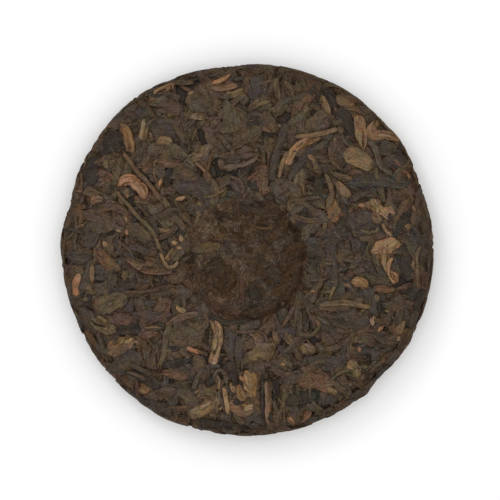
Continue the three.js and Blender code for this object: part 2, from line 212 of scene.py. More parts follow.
# Leaves that can be told apart on the back, seen from above: width, then points along the middle
KNOWN_LEAVES = {
    "black": (
        (7, -77, 57, -70, 60, -65, 57, -64, 51), (8, -84, 34, -83, 42, -80, 50),
        (3.8, -41, 44.5, -43.5, 33), (2, -44, 81.5, -40, 82), (2.6, -8, 90.5, -1, 91),
        (8, -1, 66.5, 4, 69, 8, 67.5), (2.5, -19, 46, -17.5, 38), (8, 45.5, 73.5, 52, 69, 58, 60),
        (6, 34.5, 87, 36, 81, 38, 77), (5, 38, 86, 43, 81, 46, 75), (6.8, 37, 39, 37, 28),
        (3.8, -47, -16.5, -43, -17.5), (5.5, 3, -17, 4, -24, 5, -31), (7, 83.5, 2, 84, -8, 86, -17),
        (5.2, 21, -82.5, 28, -80, 38, -77), (3.7, -46, -62, -38, -60.5, -30, -58),
        (2, 8.2, -66, 8, -75, 8, -90), (3.5, 12, -87, 13, -92), (3, -9, -65, -7, -70, -8, -74),
        (4, 93.5, -21, 89, -33), (4, 75, -60.5, 68, -68),
        (3, -22, -34.5, -14.4, -38.6, -4, -39.2, 2, -37.5), (5.5, -70, -43.5, -64, -42.7, -57, -42.5),
        (3.5, -8, -81.5, -2, -82), (5, -26, -91.5, -14, -94, 0, -95), (10, -79, 51, -73, 56, -67, 59),
        (7, 20, -82.5, 28, -80, 39, -77),
    ),
    # Painted shade of gaps between leaves: thin dark strips laid along them
    "gap": (
        (1.4, 5, 13.5, 11, 12), (1.4, 2, 17.5, 3.5, 16), (1, 14, 30, 15, 25, 20, 21.5, 24, 17),
        (1, 41, 0, 43, -4), (1, 55, -6, 54, -10, 51, -15), (1, 69, -8, 69, -13),
        (1.4, -84, -38, -80, -40.3, -75.5, -41.5), (1.2, 8, -66, 11, -63.5, 15, -62),
        (1.2, 20, -62, 24, -64.5, 27, -67), (1.5, 8, -69, 14, -69.5, 19, -68),
        (1.4, 79, -32, 77.5, -38, 73, -44), (1, -49, -52, -48.7, -62), (1.2, -57, -79, -51, -80, -45, -82),
        (1.6, -21.3, -40, -21.5, -47, -21.5, -55), (2, 34, -37, 34, -45), (1, -48, 83.5, -43, 85.5),
        (1.4, -65, 34, -61, 32.5, -59, 28),
    ),
    "slate": (
        (10, -52, 65, -43, 64.5, -35, 62.5), (5, -59, 76, -56, 71), (2, -21, 92, -14, 93.5),
        (5, 21.5, 68, 18, 58, 15, 48, 13, 36), (5, -13, 48, -3, 49), (8, 70, 55, 80, 53),
        (7, 72, 48, 84, 46), (4, 43, 59, 33, 51, 25, 42, 22, 35), (5, -71, 6, -68, -2),
        (8, -96, -3, -90, -4, -83, -4), (6, -71, -12, -73, -21), (4, -64, 2, -57, 0, -52, -2),
        (4, -57, -17, -52, -16), (6, -56, -28, -48, -27), (4, -12, 30, -3, 29), (6, -12, 4, -8, -2),
        (7, 10, -11, 18, -14), (4, -26, -20, -24, -25), (10, 40, 4, 47, 8, 54, 10),
        (4.2, 54, 26, 61, 30, 68, 34), (7, 54, 17, 68, 17), (7, 57, -8, 63, -7), (6, 63, -12, 68, -12),
        (5, 59, -24, 63, -24), (7, -70, -60, -64, -58, -57, -56), (6, -76, -60, -71, -63.5, -65, -66),
        (8.5, -56, -81, -49, -84, -41, -89), (7, -62, -35, -53, -36, -45, -34),
        (8, -11, -41, -10, -50, -10, -58), (6, -4, -46, -4, -54, -5, -62), (7, 19, -71, 24, -69, 30, -66),
        (4, 0, -94, 8, -94.5), (10, 42, -37, 54, -37, 66, -38.5),
        (3.1, 53.5, -46.5, 51.5, -52, 51, -57, 52.5, -61.5), (9, 32, -58, 42, -60.5, 52, -62),
        (7, 57, -54, 63, -53.5, 68.5, -53), (4, 62, -66, 66, -63, 69, -59), (5, 66, -45, 75, -49),
        (3, 82, -32, 80, -40), (4, 97, -2, 96, -12), (5, 90.5, -32, 86, -42), (4.5, 80.5, -53, 74, -61.5),
        (4.5, 62, -74, 54, -80), (4, 38, -89, 28, -92), (9, -54, 53.5, -43, 52.5, -32, 50),
        (13, 4, 93, 6, 86, 6, 79), (7, 53, 36.5, 70, 37, 86, 35.5), (4.4, 16, -51, 20, -55, 24.5, -59),
    ),
    "umber": (
        (6, -50, 45, -43, 37), (10, -30, 79, -24, 77, -17, 73.5), (3.5, 15, 92, 15.5, 86, 17, 79),
        (10, -85, 12, -78, 13.5, -70, 14.5), (4.5, -82, 20, -74, 23, -67, 21, -65, 17),
        (2.2, 22, 26, 30, 27, 39, 28), (3, 24, 18, 32, 15.5, 40, 16), (6, 41, -6, 48, -7),
        (14, -43, -50, -33, -46, -23, -42), (3.7, -55, -50, -54, -57, -52.5, -64),
        (3.7, -49.5, -51, -49, -58, -48.5, -65), (9, -27, -56, -25, -63, -23, -70),
        (6.8, -38, -76, -32, -79, -26, -82.5), (2.6, 26, -44, 33, -46.5, 39, -41),
        (2.9, 36, -50, 41, -53, 47, -52.5, 52, -49.5, 54.5, -46.5), (3, 28, -33, 28, -40, 27, -47),
        (2.4, 31, -31, 34, -37, 36.5, -43), (2.6, 25, -30, 22, -36, 18.5, -41.5),
        (2.5, -64, -61, -57, -64, -51, -67), (2.2, -65, -65, -58, -67.5, -54, -70),
        (2.5, -18, -70, -17, -66, -14.5, -64.5, -12, -67, -11, -73), (2.5, -80, -44, -78, -49, -76, -53),
        (3, 64.7, -66.5, 69, -62, 72, -59), (4.5, 47, -84.5, 37, -89), (8, -40, 42, -33, 42.5, -27, 41),
        (13, -26, 88, -22, 80.5, -18, 72.5), (10, -38, 69, -33, 64, -29, 57),
    ),
    "olive": (
        (4.5, -72, 34, -70, 42, -67, 50), (9, -12, 80, -9, 73, -7, 63), (4, -16, 83, -9, 81),
        (6, 19, 90, 22, 85, 24, 80), (8, -3, 57, 3, 61, 8, 65), (8, 10, 60, 13, 50),
        (1.5, -27, 66, -30, 57), (8, 31, 64, 37, 68.5, 43, 73), (9, -65, 14, -58, 8, -52, 4),
        (8, -68, -12, -61, -14), (10, -82, -30, -73, -28, -64, -24), (4, 50, -6, 52, -9),
        (3, 57, -44, 55, -50, 54, -56), (4, 47, -70, 49, -74, 53, -75), (2, -44, -79, -41, -81),
        (3, 14, -80, 15, -85, 18, -91), (8, -46.5, 58, -40, 57.5), (9, -54, 53.5, -43, 52.5, -32, 50),
    ),
    "ochre": (
        (3, -76, 48, -75, 43), (4.5, 2, 75.5, 7, 79, 13, 80), (3, 52.5, 75.5, 57, 75, 61.5, 72),
        (12, 0, -57, 7, -55, 15, -51), (2.4, 46.5, 60, 46.5, 57), (2.5, 35, 43, 39, 41),
        (2.4, -88, -27, -84.5, -26), (3, -67.5, -14, -65.5, -17), (6, -65, -5, -60, -7.5, -55, -9),
        (1.8, -24, 28, -17, 29, -11, 33), (5, -29, -0.5, -23, 0.5, -18, 2, -14, 2),
        (3.4, -17, -28, -13, -32), (2.4, 20, -28, 18, -30), (2.8, 41, 41, 44.5, 34, 45, 27, 42, 21),
        (3, 42, 15, 41, 11), (2.2, 60, 10.5, 65, 9, 69, 10, 70, 12.5), (3.6, 85, 14, 86, 10),
        (1.8, 53.5, -4.5, 57, -3.5), (1.8, 44, -17, 48, -18), (3, 69, -24, 69.5, -28),
        (3, 76, -22, 79, -21), (3.7, 14, -44, 16, -49.5), (5.2, 20, -45, 24, -51),
        (2, -62, -72, -60.5, -75), (1.8, -55.5, -42.5, -51, -41.5, -46, -42),
        (1.5, 16, -79, 19, -84, 19.5, -91), (7.5, -84, -37.5, -77, -41, -70, -43.5),
        (3, 32, 51, 36, 47, 36, 42), (5, 67, -22, 71, -21, 75, -23), (6, 29, -51, 33, -54, 37, -55),
        (3, -73, -56.5, -68, -54.5, -64, -52), (2, -66, 32, -65.5, 27.5),
    ),
    "maroon": (
        (8, -49, 75.5, -42, 75.5, -35.5, 74.5), (6, 8, 74, 12, 68, 16, 63), (2, -39, 24, -35, 24.5),
        (4, -66, -24, -55, -23.5, -46, -21.5, -38, -20), (4, -53, -26, -38, -22),
        (2.5, -5.5, -17, -5.5, -28), (6, 53, -12, 57, -14), (8, 77, -27, 84, -28),
        (8, -73, -36, -67, -38, -61, -39), (2.4, -59.5, -70, -58.7, -74, -57.8, -79),
        (6, 60, -46, 64, -48, 69, -50), (4.5, 71, -34, 74, -37, 76, -41), (3, -26, -79.5, -20, -79),
        (4.5, 95.5, -11, 93, -22), (4.5, 86.5, -41.5, 80, -53), (4, 55, -79.5, 46, -85),
        (13, -26, 88, -22, 80.5, -18, 72.5),
    ),
    "russet": (
        (2, -55, 58.5, -50, 58.5), (2, -19, 52, -20.5, 46, -21.5, 41), (3.5, -91, 24, -86, 22),
        (3, -80, 1, -77, -4), (3.5, -58, -11, -50, -12, -40, -11.5),
        (1.6, 0.5, 15, 3, 12.5, 8, 11.2, 12, 11.8, 15, 13.5), (4, -18, 6, -12, 7), (3, -3, -15, -3, -28),
        (4, 60, 23, 64, 22), (5, 68, -20, 78, -22), (3.5, -86, -42, -83, -47, -80, -52),
        (5, -57, -46, -52, -45.5, -47.5, -45), (2.5, -67, -68.5, -63, -70), (2.2, -27, -54, -21, -57),
        (2, 40, -54.5, 46, -55.5), (8, 26, -72, 33, -70, 40, -72, 45, -75), (2.5, 13, -92.5, 17.5, -93.5),
        (3, 71, -60, 73, -57.5), (4.7, -46, -65.5, -39, -67, -32, -68.5),
        (2.1, -10, -34.5, -6, -33.8, -2, -33.3),
    ),
    "tawny": (
        (3, -53, 80, -49.5, 80.5), (4.5, -55, 70, -55, 64, -56.5, 58), (2.5, -65, 33, -64.5, 27),
        (4, -19, 86, -12, 86.5, -5, 88), (2, -28, 47, -25, 44, -22, 41), (7, 47.5, 82, 52, 79, 57, 77.5),
        (3.2, 39.5, 82, 41, 78, 44.5, 72), (3, 69.5, 68.5, 68.5, 65), (2.4, 17, 38, 18.5, 46, 22, 53),
        (4, -84, 24.5, -80, 27, -77, 26.5), (2.6, -83, -8, -83, -18),
        (2.2, -46.5, -2, -45, -6, -42.5, -9.5, -38.5, -8.5, -37.5, -6), (4, -29.5, -15, -30.5, -22),
        (9.5, 0, -64.5, 1, -71, 3.5, -79), (9, 54, -59, 56.5, -64, 59, -69),
        (3.2, -17, -66, -16, -70, -15.5, -75), (7.3, -12, -83, -5, -84.5, 3, -86),
        (3.7, 10.5, -70.5, 11, -78, 11, -86, 11.5, -93.5), (3.7, 28, -92, 31, -89, 34, -86),
        (4.7, 84, -38, 82, -41, 80, -45), (2.5, -69, -50.5, -65, -48), (2.8, 25, 60, 37, 61.5, 48.5, 64.5),
        (8, 60, 23, 68, 22, 74, 21), (6.5, 44.5, 29, 46, 21, 47, 14.5), (6.5, 48, 37, 51, 32.5, 55, 28),
        (6, 59, 72, 60.5, 63, 62, 53), (5.5, -20, -37.5, -17, -40, -15.8, -46, -17, -53, -18.5, -60),
        (6.5, -31, -89, -25, -86, -20, -82.5, -15, -79), (5.2, -67, 66.5, -64.5, 62, -63, 57, -62, 51.5),
        (5.5, 55.5, -17, 60, -17.5, 64.5, -20), (3, 56, -29.3, 66, -31),
        (3.4, 33.5, -34.5, 36, -38, 39.5, -41), (3.7, 42, -74, 45, -75.5, 48, -76.5), (6, 67, 20, 71, 14),
        (2.4, -80.5, -35.5, -77.5, -37, -75, -39.5), (9, -75, -55, -70, -52.5, -64.5, -49.5, -61, -47.5),
        (9, 51, 52, 59, 49.5, 68, 45), (4.5, -49, 58, -44, 58.5, -40.5, 57.5),
        (4.5, -6, -72, -4, -77, -1.5, -81),
    ),
    "amber": (
        (9.5, 0, -64.5, 1, -71, 3.5, -79), (7.3, -12, -83, -5, -84.5, 3, -86),
        (5.5, 55.5, -17, 60, -17.5, 64.5, -20), (6, 59, 72, 60.5, 63, 62, 53),
        (5.2, -68, 67, -64.5, 62.5, -63, 57, -61.5, 51.5), (6.5, 44.5, 29, 46, 21, 47, 14.5),
        (4.5, -6, -72, -4, -77, -1.5, -81),
    ),
    "gold": (
        (3.6, -50, 82.5, -44, 85.5, -38.5, 87.5), (2.8, -32, 83, -28.5, 84), (2.5, -11.3, 83.5, -8.7, 83.8),
        (2.2, 69, 60.8, 74, 60.5, 79.5, 58), (1.8, -70.5, 10.5, -67.5, 9.5), (3.2, -77, 4.5, -76, 1),
        (3, -41, 3.5, -37, 3.5), (2.4, -38, 1, -35, 0.5), (2.8, -36, 8, -35, 4),
        (2, 72, 14, 74, 10, 77.5, 7), (2.8, 73.5, 1, 73, -5, 74, -12), (2.5, -61, -49, -58, -51),
        (4.7, -38, -30, -36, -32, -33, -34), (3.2, -2, -86, 1, -84, 3, -85), (2, -15, -86, -13.5, -84),
        (2.5, 53, -62, 57, -64), (3, 67.5, -35, 67, -38, 67, -41), (2.2, 73.5, -32, 75.5, -33.5),
        (2.5, 81, -46, 79.5, -49), (7.5, 66.5, -2, 74, 1, 81, 4.5), (2.5, -66, -50, -61, -47.8),
        (3, -17.5, -38, -15.5, -43, -15.8, -47), (3.4, -18, -49, -18.3, -54.5), (2.5, -26, -85, -19, -81),
        (4.5, -1, -66, 0.5, -70, 1, -75), (5.5, -29, -0.5, -24.5, -0.5, -18, 2, -14, 1.5),
        (4.2, 66, 27, 68.5, 23, 69, 19), (3.6, 73, 22.5, 76, 19.5), (3, -4, -67.5, -2.5, -71),
        (6, 67, 27, 70, 21, 75, 16.5), (4.4, -17.5, -38, -15.5, -43, -15.8, -48),
        (4, -17, -47, -18.3, -54.5), (5, -18.5, -38.5, -15.8, -43, -16, -50, -18, -57, -19.5, -62),
    ),
    "orange": (
        (2.2, -46, 38, -47.5, 33.5), (2.6, -19, 88.5, -14, 90, -9, 93), (2.4, 85, 41, 87, 37.5),
        (2.2, -65, 11, -64.5, 7.5), (2.6, -39.5, -9.5, -37.5, -6.5), (2.6, -39, 26.5, -33, 28),
        (3.7, 75, 23, 79, 19), (1.8, 88, 24, 89, 20), (2.6, 78, -4, 75.5, -8, 75.5, -14),
        (2.4, 77, -12.5, 79.3, -13.5, 80, -18), (2, 34, -22, 36, -23), (3, -9.5, -71, -8, -74, -7, -77),
        (2.8, -13.2, -74, -12, -78, -11, -83, -10.5, -88), (1.8, -28, -77, -26, -75),
        (3.2, 21, -89.5, 24.5, -92), (2.2, 17.8, -61, 20, -62), (2.4, -33, -52, -29, -54, -24.5, -55.5),
        (2, 59.5, -52, 60, -55), (2.6, 70, -44.5, 71, -42.5, 72.5, -41),
        (5.4, 67.6, 68, 66, 64, 67.5, 61, 73, 61.2, 80, 58.8), (4.6, 21, 45, 25, 53, 31, 57.5, 40, 61.5),
        (2.6, 59, 24, 63, 23), (4.4, -90, -12.5, -91.5, -18, -91, -25),
        (5.8, -69, 35, -66.5, 37.3, -63, 37.5, -59.3, 35, -56, 31.5, -55, 27),
        (5.2, -69, 34.6, -66.5, 36.8, -63, 37, -59.8, 34.7, -56.6, 31.2, -55.5, 27),
        (8.5, 66.5, -2, 74, 1, 81, 4), (5, 71, 2, 73.5, -3, 74, -9), (3.6, 74.5, -9, 77, -14, 79, -18.5),
        (6, -1, -65, 0.5, -70, 1, -76), (3.2, -69.5, 33.5, -67.5, 36.5, -64, 37.8, -60, 37),
        (6, -63, 36.5, -59.3, 34.8, -56.3, 31.5, -55, 27),
    ),
    "stem": (
        (2.6, -70, 30, -64, 24, -59, 18, -53.5, 12.8, -49.5, 7.5, -48, 2.5, -45.5, -1),
        (3.2, 92, 3, 89.5, -3, 90, -12, 90.5, -21),
        (2.6, -66.8, 52, -62.5, 46.5, -59, 41.6, -55, 37.5, -50.5, 32, -45.9, 26),
        (3.6, -44, -42, -40, -38.5, -33, -35.5, -26, -34),
        (3.2, -41.5, -40, -43.5, -46, -44.5, -54, -46.5, -62.5), (3.2, 38, -29.5, 50, -28.5, 62, -29.5),
    ),
    "twig": (
        (1.3, -35, 70, -33, 61, -30, 52), (3.5, 54, -69, 59, -71.5, 63, -74),
    ),
}

# Shaded parts are warmer, as their light comes from other leaves: powers for red, green and blue
SHADE_TINT = np.array([0.85, 1.0, 1.18])

SEED = 357


class CakeSettings(bpy.types.PropertyGroup):
    """Sizes of the whole cake."""

    radius: FloatProperty(
        name="Radius",
        description="Radius of the core under the leaves at its widest line",
        default=round(cad_high.x, 4) - 0.0012,
        unit="LENGTH",
    )
    thickness: FloatProperty(
        name="Thickness",
        description="Height of the pressed back over the table",
        default=round(cad_high.z, 3),
        unit="LENGTH",
    )
    cover: FloatProperty(
        name="Leaf cover",
        description="How far the pressed leaves stand off the core",
        default=0.002,
        unit="LENGTH",
    )
    core_colour: FloatVectorProperty(
        name="Core colour",
        description="Colour of the packed tea that shows deep between leaves",
        default=(0.016, 0.011, 0.008),
        subtype="COLOR",
    )


class LeafSettings(bpy.types.PropertyGroup):
    """How many leaves cover a face, and their look."""

    broad: IntProperty(name="Broad leaves", description="Broad leaves under the rest", default=300)
    folded: IntProperty(name="Folded leaves", description="Folded leaves of middle size", default=560)
    narrow: IntProperty(name="Narrow leaves", description="Twisted leaves and stems", default=90)
    crumbs: IntProperty(name="Crumbs", description="Broken bits on the surface", default=750)
    brightness: FloatProperty(
        name="Brightness",
        description="Scale of all leaf colours",
        default=1.1,
        subtype="FACTOR",
    )
    roughness: FloatProperty(
        name="Roughness",
        description="Mean roughness of a leaf",
        default=0.55,
        subtype="FACTOR",
    )


class StageSettings(bpy.types.PropertyGroup):
    """Floor, light and camera."""

    view_width: FloatProperty(
        name="View width",
        description="Width of the picture at the cake",
        default=0.262,
        unit="LENGTH",
    )
    camera_height: FloatProperty(
        name="Camera height",
        description="Height of the camera over the floor",
        default=1.6,
        unit="LENGTH",
    )
    floor_colour: FloatVectorProperty(
        name="Floor colour",
        description="Colour of the floor",
        default=(0.92, 0.92, 0.92),
        subtype="COLOR",
    )


def smooth_step(t):
    t = np.clip(t, 0, 1)
    return t * t * (3 - 2 * t)


def linear(colour):
    """Screen values from 0 to 255 as linear light."""
    share = np.asarray(colour, float) / 255
    return np.where(share <= 0.04045, share / 12.92, ((share + 0.055) / 1.055) ** 2.4)


def edge_bump(angle):
    """How far the outline stands out from the circle at an angle in radians."""
    total = np.zeros_like(angle)
    for bearing, spread, height in EDGE_BUMPS:
        away = (np.degrees(angle) - bearing + 180) % 360 - 180
        total += height * np.exp(-((away / spread) ** 2))
    return total


def dimple_depth(x, y, wider=0.0):
    dx, dy = x - DIMPLE_X, y - DIMPLE_Y
    wall = DIMPLE_WALL - DIMPLE_SKEW * np.cos(np.arctan2(dy, dx) - math.radians(DIMPLE_STEEP_SIDE))
    return DIMPLE_DEPTH * smooth_step((DIMPLE_RADIUS + wider - np.hypot(dx, dy)) / wall)


def dimple_share(face, x, y):
    """Share of the dimple's whole depth at points of a face."""
    if face == "front":
        return np.zeros_like(x)
    return dimple_depth(x, y) / DIMPLE_DEPTH


class CakeForm:
    """The form under the leaves: a meridian by its length from the middle of the back."""

    def __init__(self, settings):
        self.radius = settings.radius / MM
        self.cover = settings.cover / MM
        angle = np.linspace(0, math.pi / 2, SHOULDER_STEPS + 1)
        top = settings.thickness / MM - self.cover
        back = self.shoulder(angle, BACK_FLAT_RADIUS, top, BACK_ROUNDNESS)
        front = self.shoulder(angle, FRONT_FLAT_RADIUS, self.cover, FRONT_ROUNDNESS)
        line = np.vstack([(0, back[0, 1]), back, front[-2::-1], (0, front[0, 1])])
        lengths = np.hypot(*np.diff(line, axis=0).T)
        along = np.concatenate([[0], np.cumsum(lengths)])
        self.girth = along[len(back)]
        self.whole = along[-1]
        self.length = np.linspace(0, self.whole, MERIDIAN_POINTS)
        self.r = np.interp(self.length, along, line[:, 0])
        self.z = np.interp(self.length, along, line[:, 1])
        step_r, step_z = np.gradient(self.r), np.gradient(self.z)
        size = np.hypot(step_r, step_z)
        self.normal_r, self.normal_z = -step_z / size, step_r / size

    def bulge(self, angle, r):
        """How far the uneven outline moves points outwards. It fades towards the middle."""
        return edge_bump(angle) * (r / self.radius) ** 3

    def shoulder(self, angle, flat_radius, face_height, roundness):
        """Points from the rim of a face's flat to the widest line."""
        out = np.sin(angle) ** (2 / roundness)
        up = np.maximum(np.cos(angle), 0) ** (2 / roundness)
        r = flat_radius + (self.radius - flat_radius) * out
        z = FRONT_TO_GIRTH + (face_height - FRONT_TO_GIRTH) * up
        return np.column_stack([r, z])

    def on_cake(self, face, x, y, lift):
        """Takes points of a face laid out flat, seen from outside, to their places on the cake."""
        reach = np.hypot(x, y)
        length = reach if face == "back" else self.whole - reach
        angle = np.arctan2(y if face == "back" else -y, x)
        r, z, normal_r, normal_z = (
            np.interp(length, self.length, values)
            for values in (self.r, self.z, self.normal_r, self.normal_z)
        )
        radius = r + normal_r * lift + self.bulge(angle, r)
        px, py = radius * np.cos(angle), radius * np.sin(angle)
        height = z + normal_z * lift
        if face == "back":
            height = height - dimple_depth(px, py)
        return np.stack([px, py, np.maximum(height, 0)], axis=-1)


class Pile:
    """Height of the leaves laid so far on a face, on a square grid of the face laid out flat."""

    def __init__(self, reach):
        self.reach = reach
        self.count = int(2 * reach / PILE_CELL) + 2
        self.height = np.zeros((self.count, self.count))

    def cells(self, x, y):
        return (x + self.reach) / PILE_CELL, (y + self.reach) / PILE_CELL

    def read(self, grid, x, y):
        """Values of a grid between its cells."""
        i, j = (np.clip(c, 0, self.count - 1.001) for c in self.cells(x, y))
        i0, j0 = i.astype(int), j.astype(int)
        a, b = i - i0, j - j0
        low = grid[j0, i0] * (1 - a) + grid[j0, i0 + 1] * a
        high = grid[j0 + 1, i0] * (1 - a) + grid[j0 + 1, i0 + 1] * a
        return low * (1 - b) + high * b

    def lay(self, x, y, z):
        """Raises the pile to a leaf's top, whose points are closer than the cells."""
        i, j = (np.clip(np.rint(c).astype(int), 0, self.count - 1) for c in self.cells(x, y))
        np.maximum.at(self.height, (j.ravel(), i.ravel()), z.ravel())

    def beside(self):
        """The highest spot of the pile beside each cell."""
        height = self.height
        for axis in (0, 1):
            ahead, behind = np.roll(height, 1, axis), np.roll(height, -1, axis)
            height = np.maximum(height, np.maximum(ahead, behind))
        return height

    def blurred(self, span):
        """The pile's height with what is smaller than the span blurred away."""
        cycles = np.fft.fftfreq(self.count)
        pass_row = np.exp(-2 * (math.pi * cycles * span / PILE_CELL) ** 2)
        spectrum = np.fft.fft2(self.height) * pass_row[:, None] * pass_row[None, :]
        return np.real(np.fft.ifft2(spectrum))


def ripple(rng, t, waves=(1, 2, 3)):
    """A smooth random curve over t from 0 to 1, within about 1 of 0."""
    total = np.zeros_like(t)
    for wave in waves:
        total = total + np.sin(2 * math.pi * (wave * t * rng.uniform(0.7, 1.3) + rng.random())) / wave
    return total / 1.5


def finer(points, along, across):
    """A grid of points with more rows and columns between them."""
    rows = np.linspace(0, points.shape[0] - 1, (points.shape[0] - 1) * along + 1)
    columns = np.linspace(0, points.shape[1] - 1, (points.shape[1] - 1) * across + 1)
    r0 = np.minimum(rows.astype(int), points.shape[0] - 2)
    c0 = np.minimum(columns.astype(int), points.shape[1] - 2)
    a, b = (rows - r0)[:, None], (columns - c0)[None, :]
    top = points[r0][:, c0] * (1 - b) + points[r0][:, c0 + 1] * b
    bottom = points[r0 + 1][:, c0] * (1 - b) + points[r0 + 1][:, c0 + 1] * b
    return top * (1 - a) + bottom * a


def soften(values, passes):
    """Evens heights out along a leaf, as its stiffness does."""
    for _ in range(passes):
        padded = np.vstack([values[:1], values, values[-1:]])
        values = (padded[:-2] + 2 * padded[1:-1] + padded[2:]) / 4
    return values


# How known and loose leaves differ. Ends are how long the narrowing at an end is, in widths of the leaf:
# torn off, round and pointed. The rest is how uneven the sides are, how far another tone may cover the
# leaf, and how far it has turned to felt in the dimple.
KNOWN_HABIT = {"ends": [0.35, 0.6, 1.2], "uneven": 0.12, "patched": 0.25, "felted": 0.2}
LOOSE_HABIT = {"ends": [0.4, 0.75, 1.8], "uneven": 0.26, "patched": 0.6, "felted": 0.6}

# Stations across a leaf, from edge to edge, by how broad it is
ACROSS = {
    "chip": np.array([-1, 0, 1.0]),
    "narrow": np.array([-1, -0.72, 0, 0.72, 1]),
    "folded": np.array([-1, -0.88, -0.66, -0.44, -0.22, 0, 0.22, 0.44, 0.66, 0.88, 1]),
    "broad": np.array([-1, -0.92, -0.74, -0.56, -0.37, -0.18, 0, 0.18, 0.37, 0.56, 0.74, 0.92, 1]),
}


def stations_across(length, width, fine, known):
    """Stations from edge to edge, fewer of them on a small leaf and on the coarser face."""
    if length < CHIP_LENGTH and not known:
        across = ACROSS["chip"]
    elif width < TWISTED_WIDTH:
        across = ACROSS["narrow"]
    elif width < BROAD_WIDTH:
        across = ACROSS["folded"]
    else:
        across = ACROSS["broad"]
    coarser = fine < 1 and len(across) > 5
    return across[::2] if coarser else across


def arc(rng, x, y, heading, length, bend, sway):
    """A curved middle line of a leaf, with its middle at a spot."""
    t = np.linspace(0, 1, LINE_POINTS)
    turn = math.radians(heading) + math.radians(bend) * (t - 0.5) + sway * ripple(rng, t)
    steps = np.column_stack([np.cos(turn), np.sin(turn)])[1:] * length / (LINE_POINTS - 1)
    line = np.vstack([(0, 0), np.cumsum(steps, axis=0)])
    return line - line[LINE_POINTS // 2] + (x, y)


def outside_dimple(line):
    """The part of a line that starts or ends outside the dimple, where the leaves were cut off."""
    outside = np.hypot(line[:, 0] - DIMPLE_X, line[:, 1] - DIMPLE_Y) > DIMPLE_RIM
    if outside.all() or not (outside[0] or outside[-1]):
        return line
    if outside[0]:
        return line[: max(np.argmin(outside), 4)]
    return line[min(np.argmax(outside), len(line) - 4) :]


def through(points):
    """A smooth line through points."""
    points = np.reshape(points, (-1, 2))
    points = np.vstack([2 * points[0] - points[1], points, 2 * points[-1] - points[-2]])
    t = np.linspace(0, 1, 12, endpoint=False)[:, None]
    parts = []
    for a, b, c, d in zip(points, points[1:], points[2:], points[3:]):
        bend = (2 * a - 5 * b + 4 * c - d) * t**2 + (3 * b - a - 3 * c + d) * t**3
        parts.append(b + 0.5 * ((c - a) * t + bend))
    return np.vstack([*parts, points[-2]])


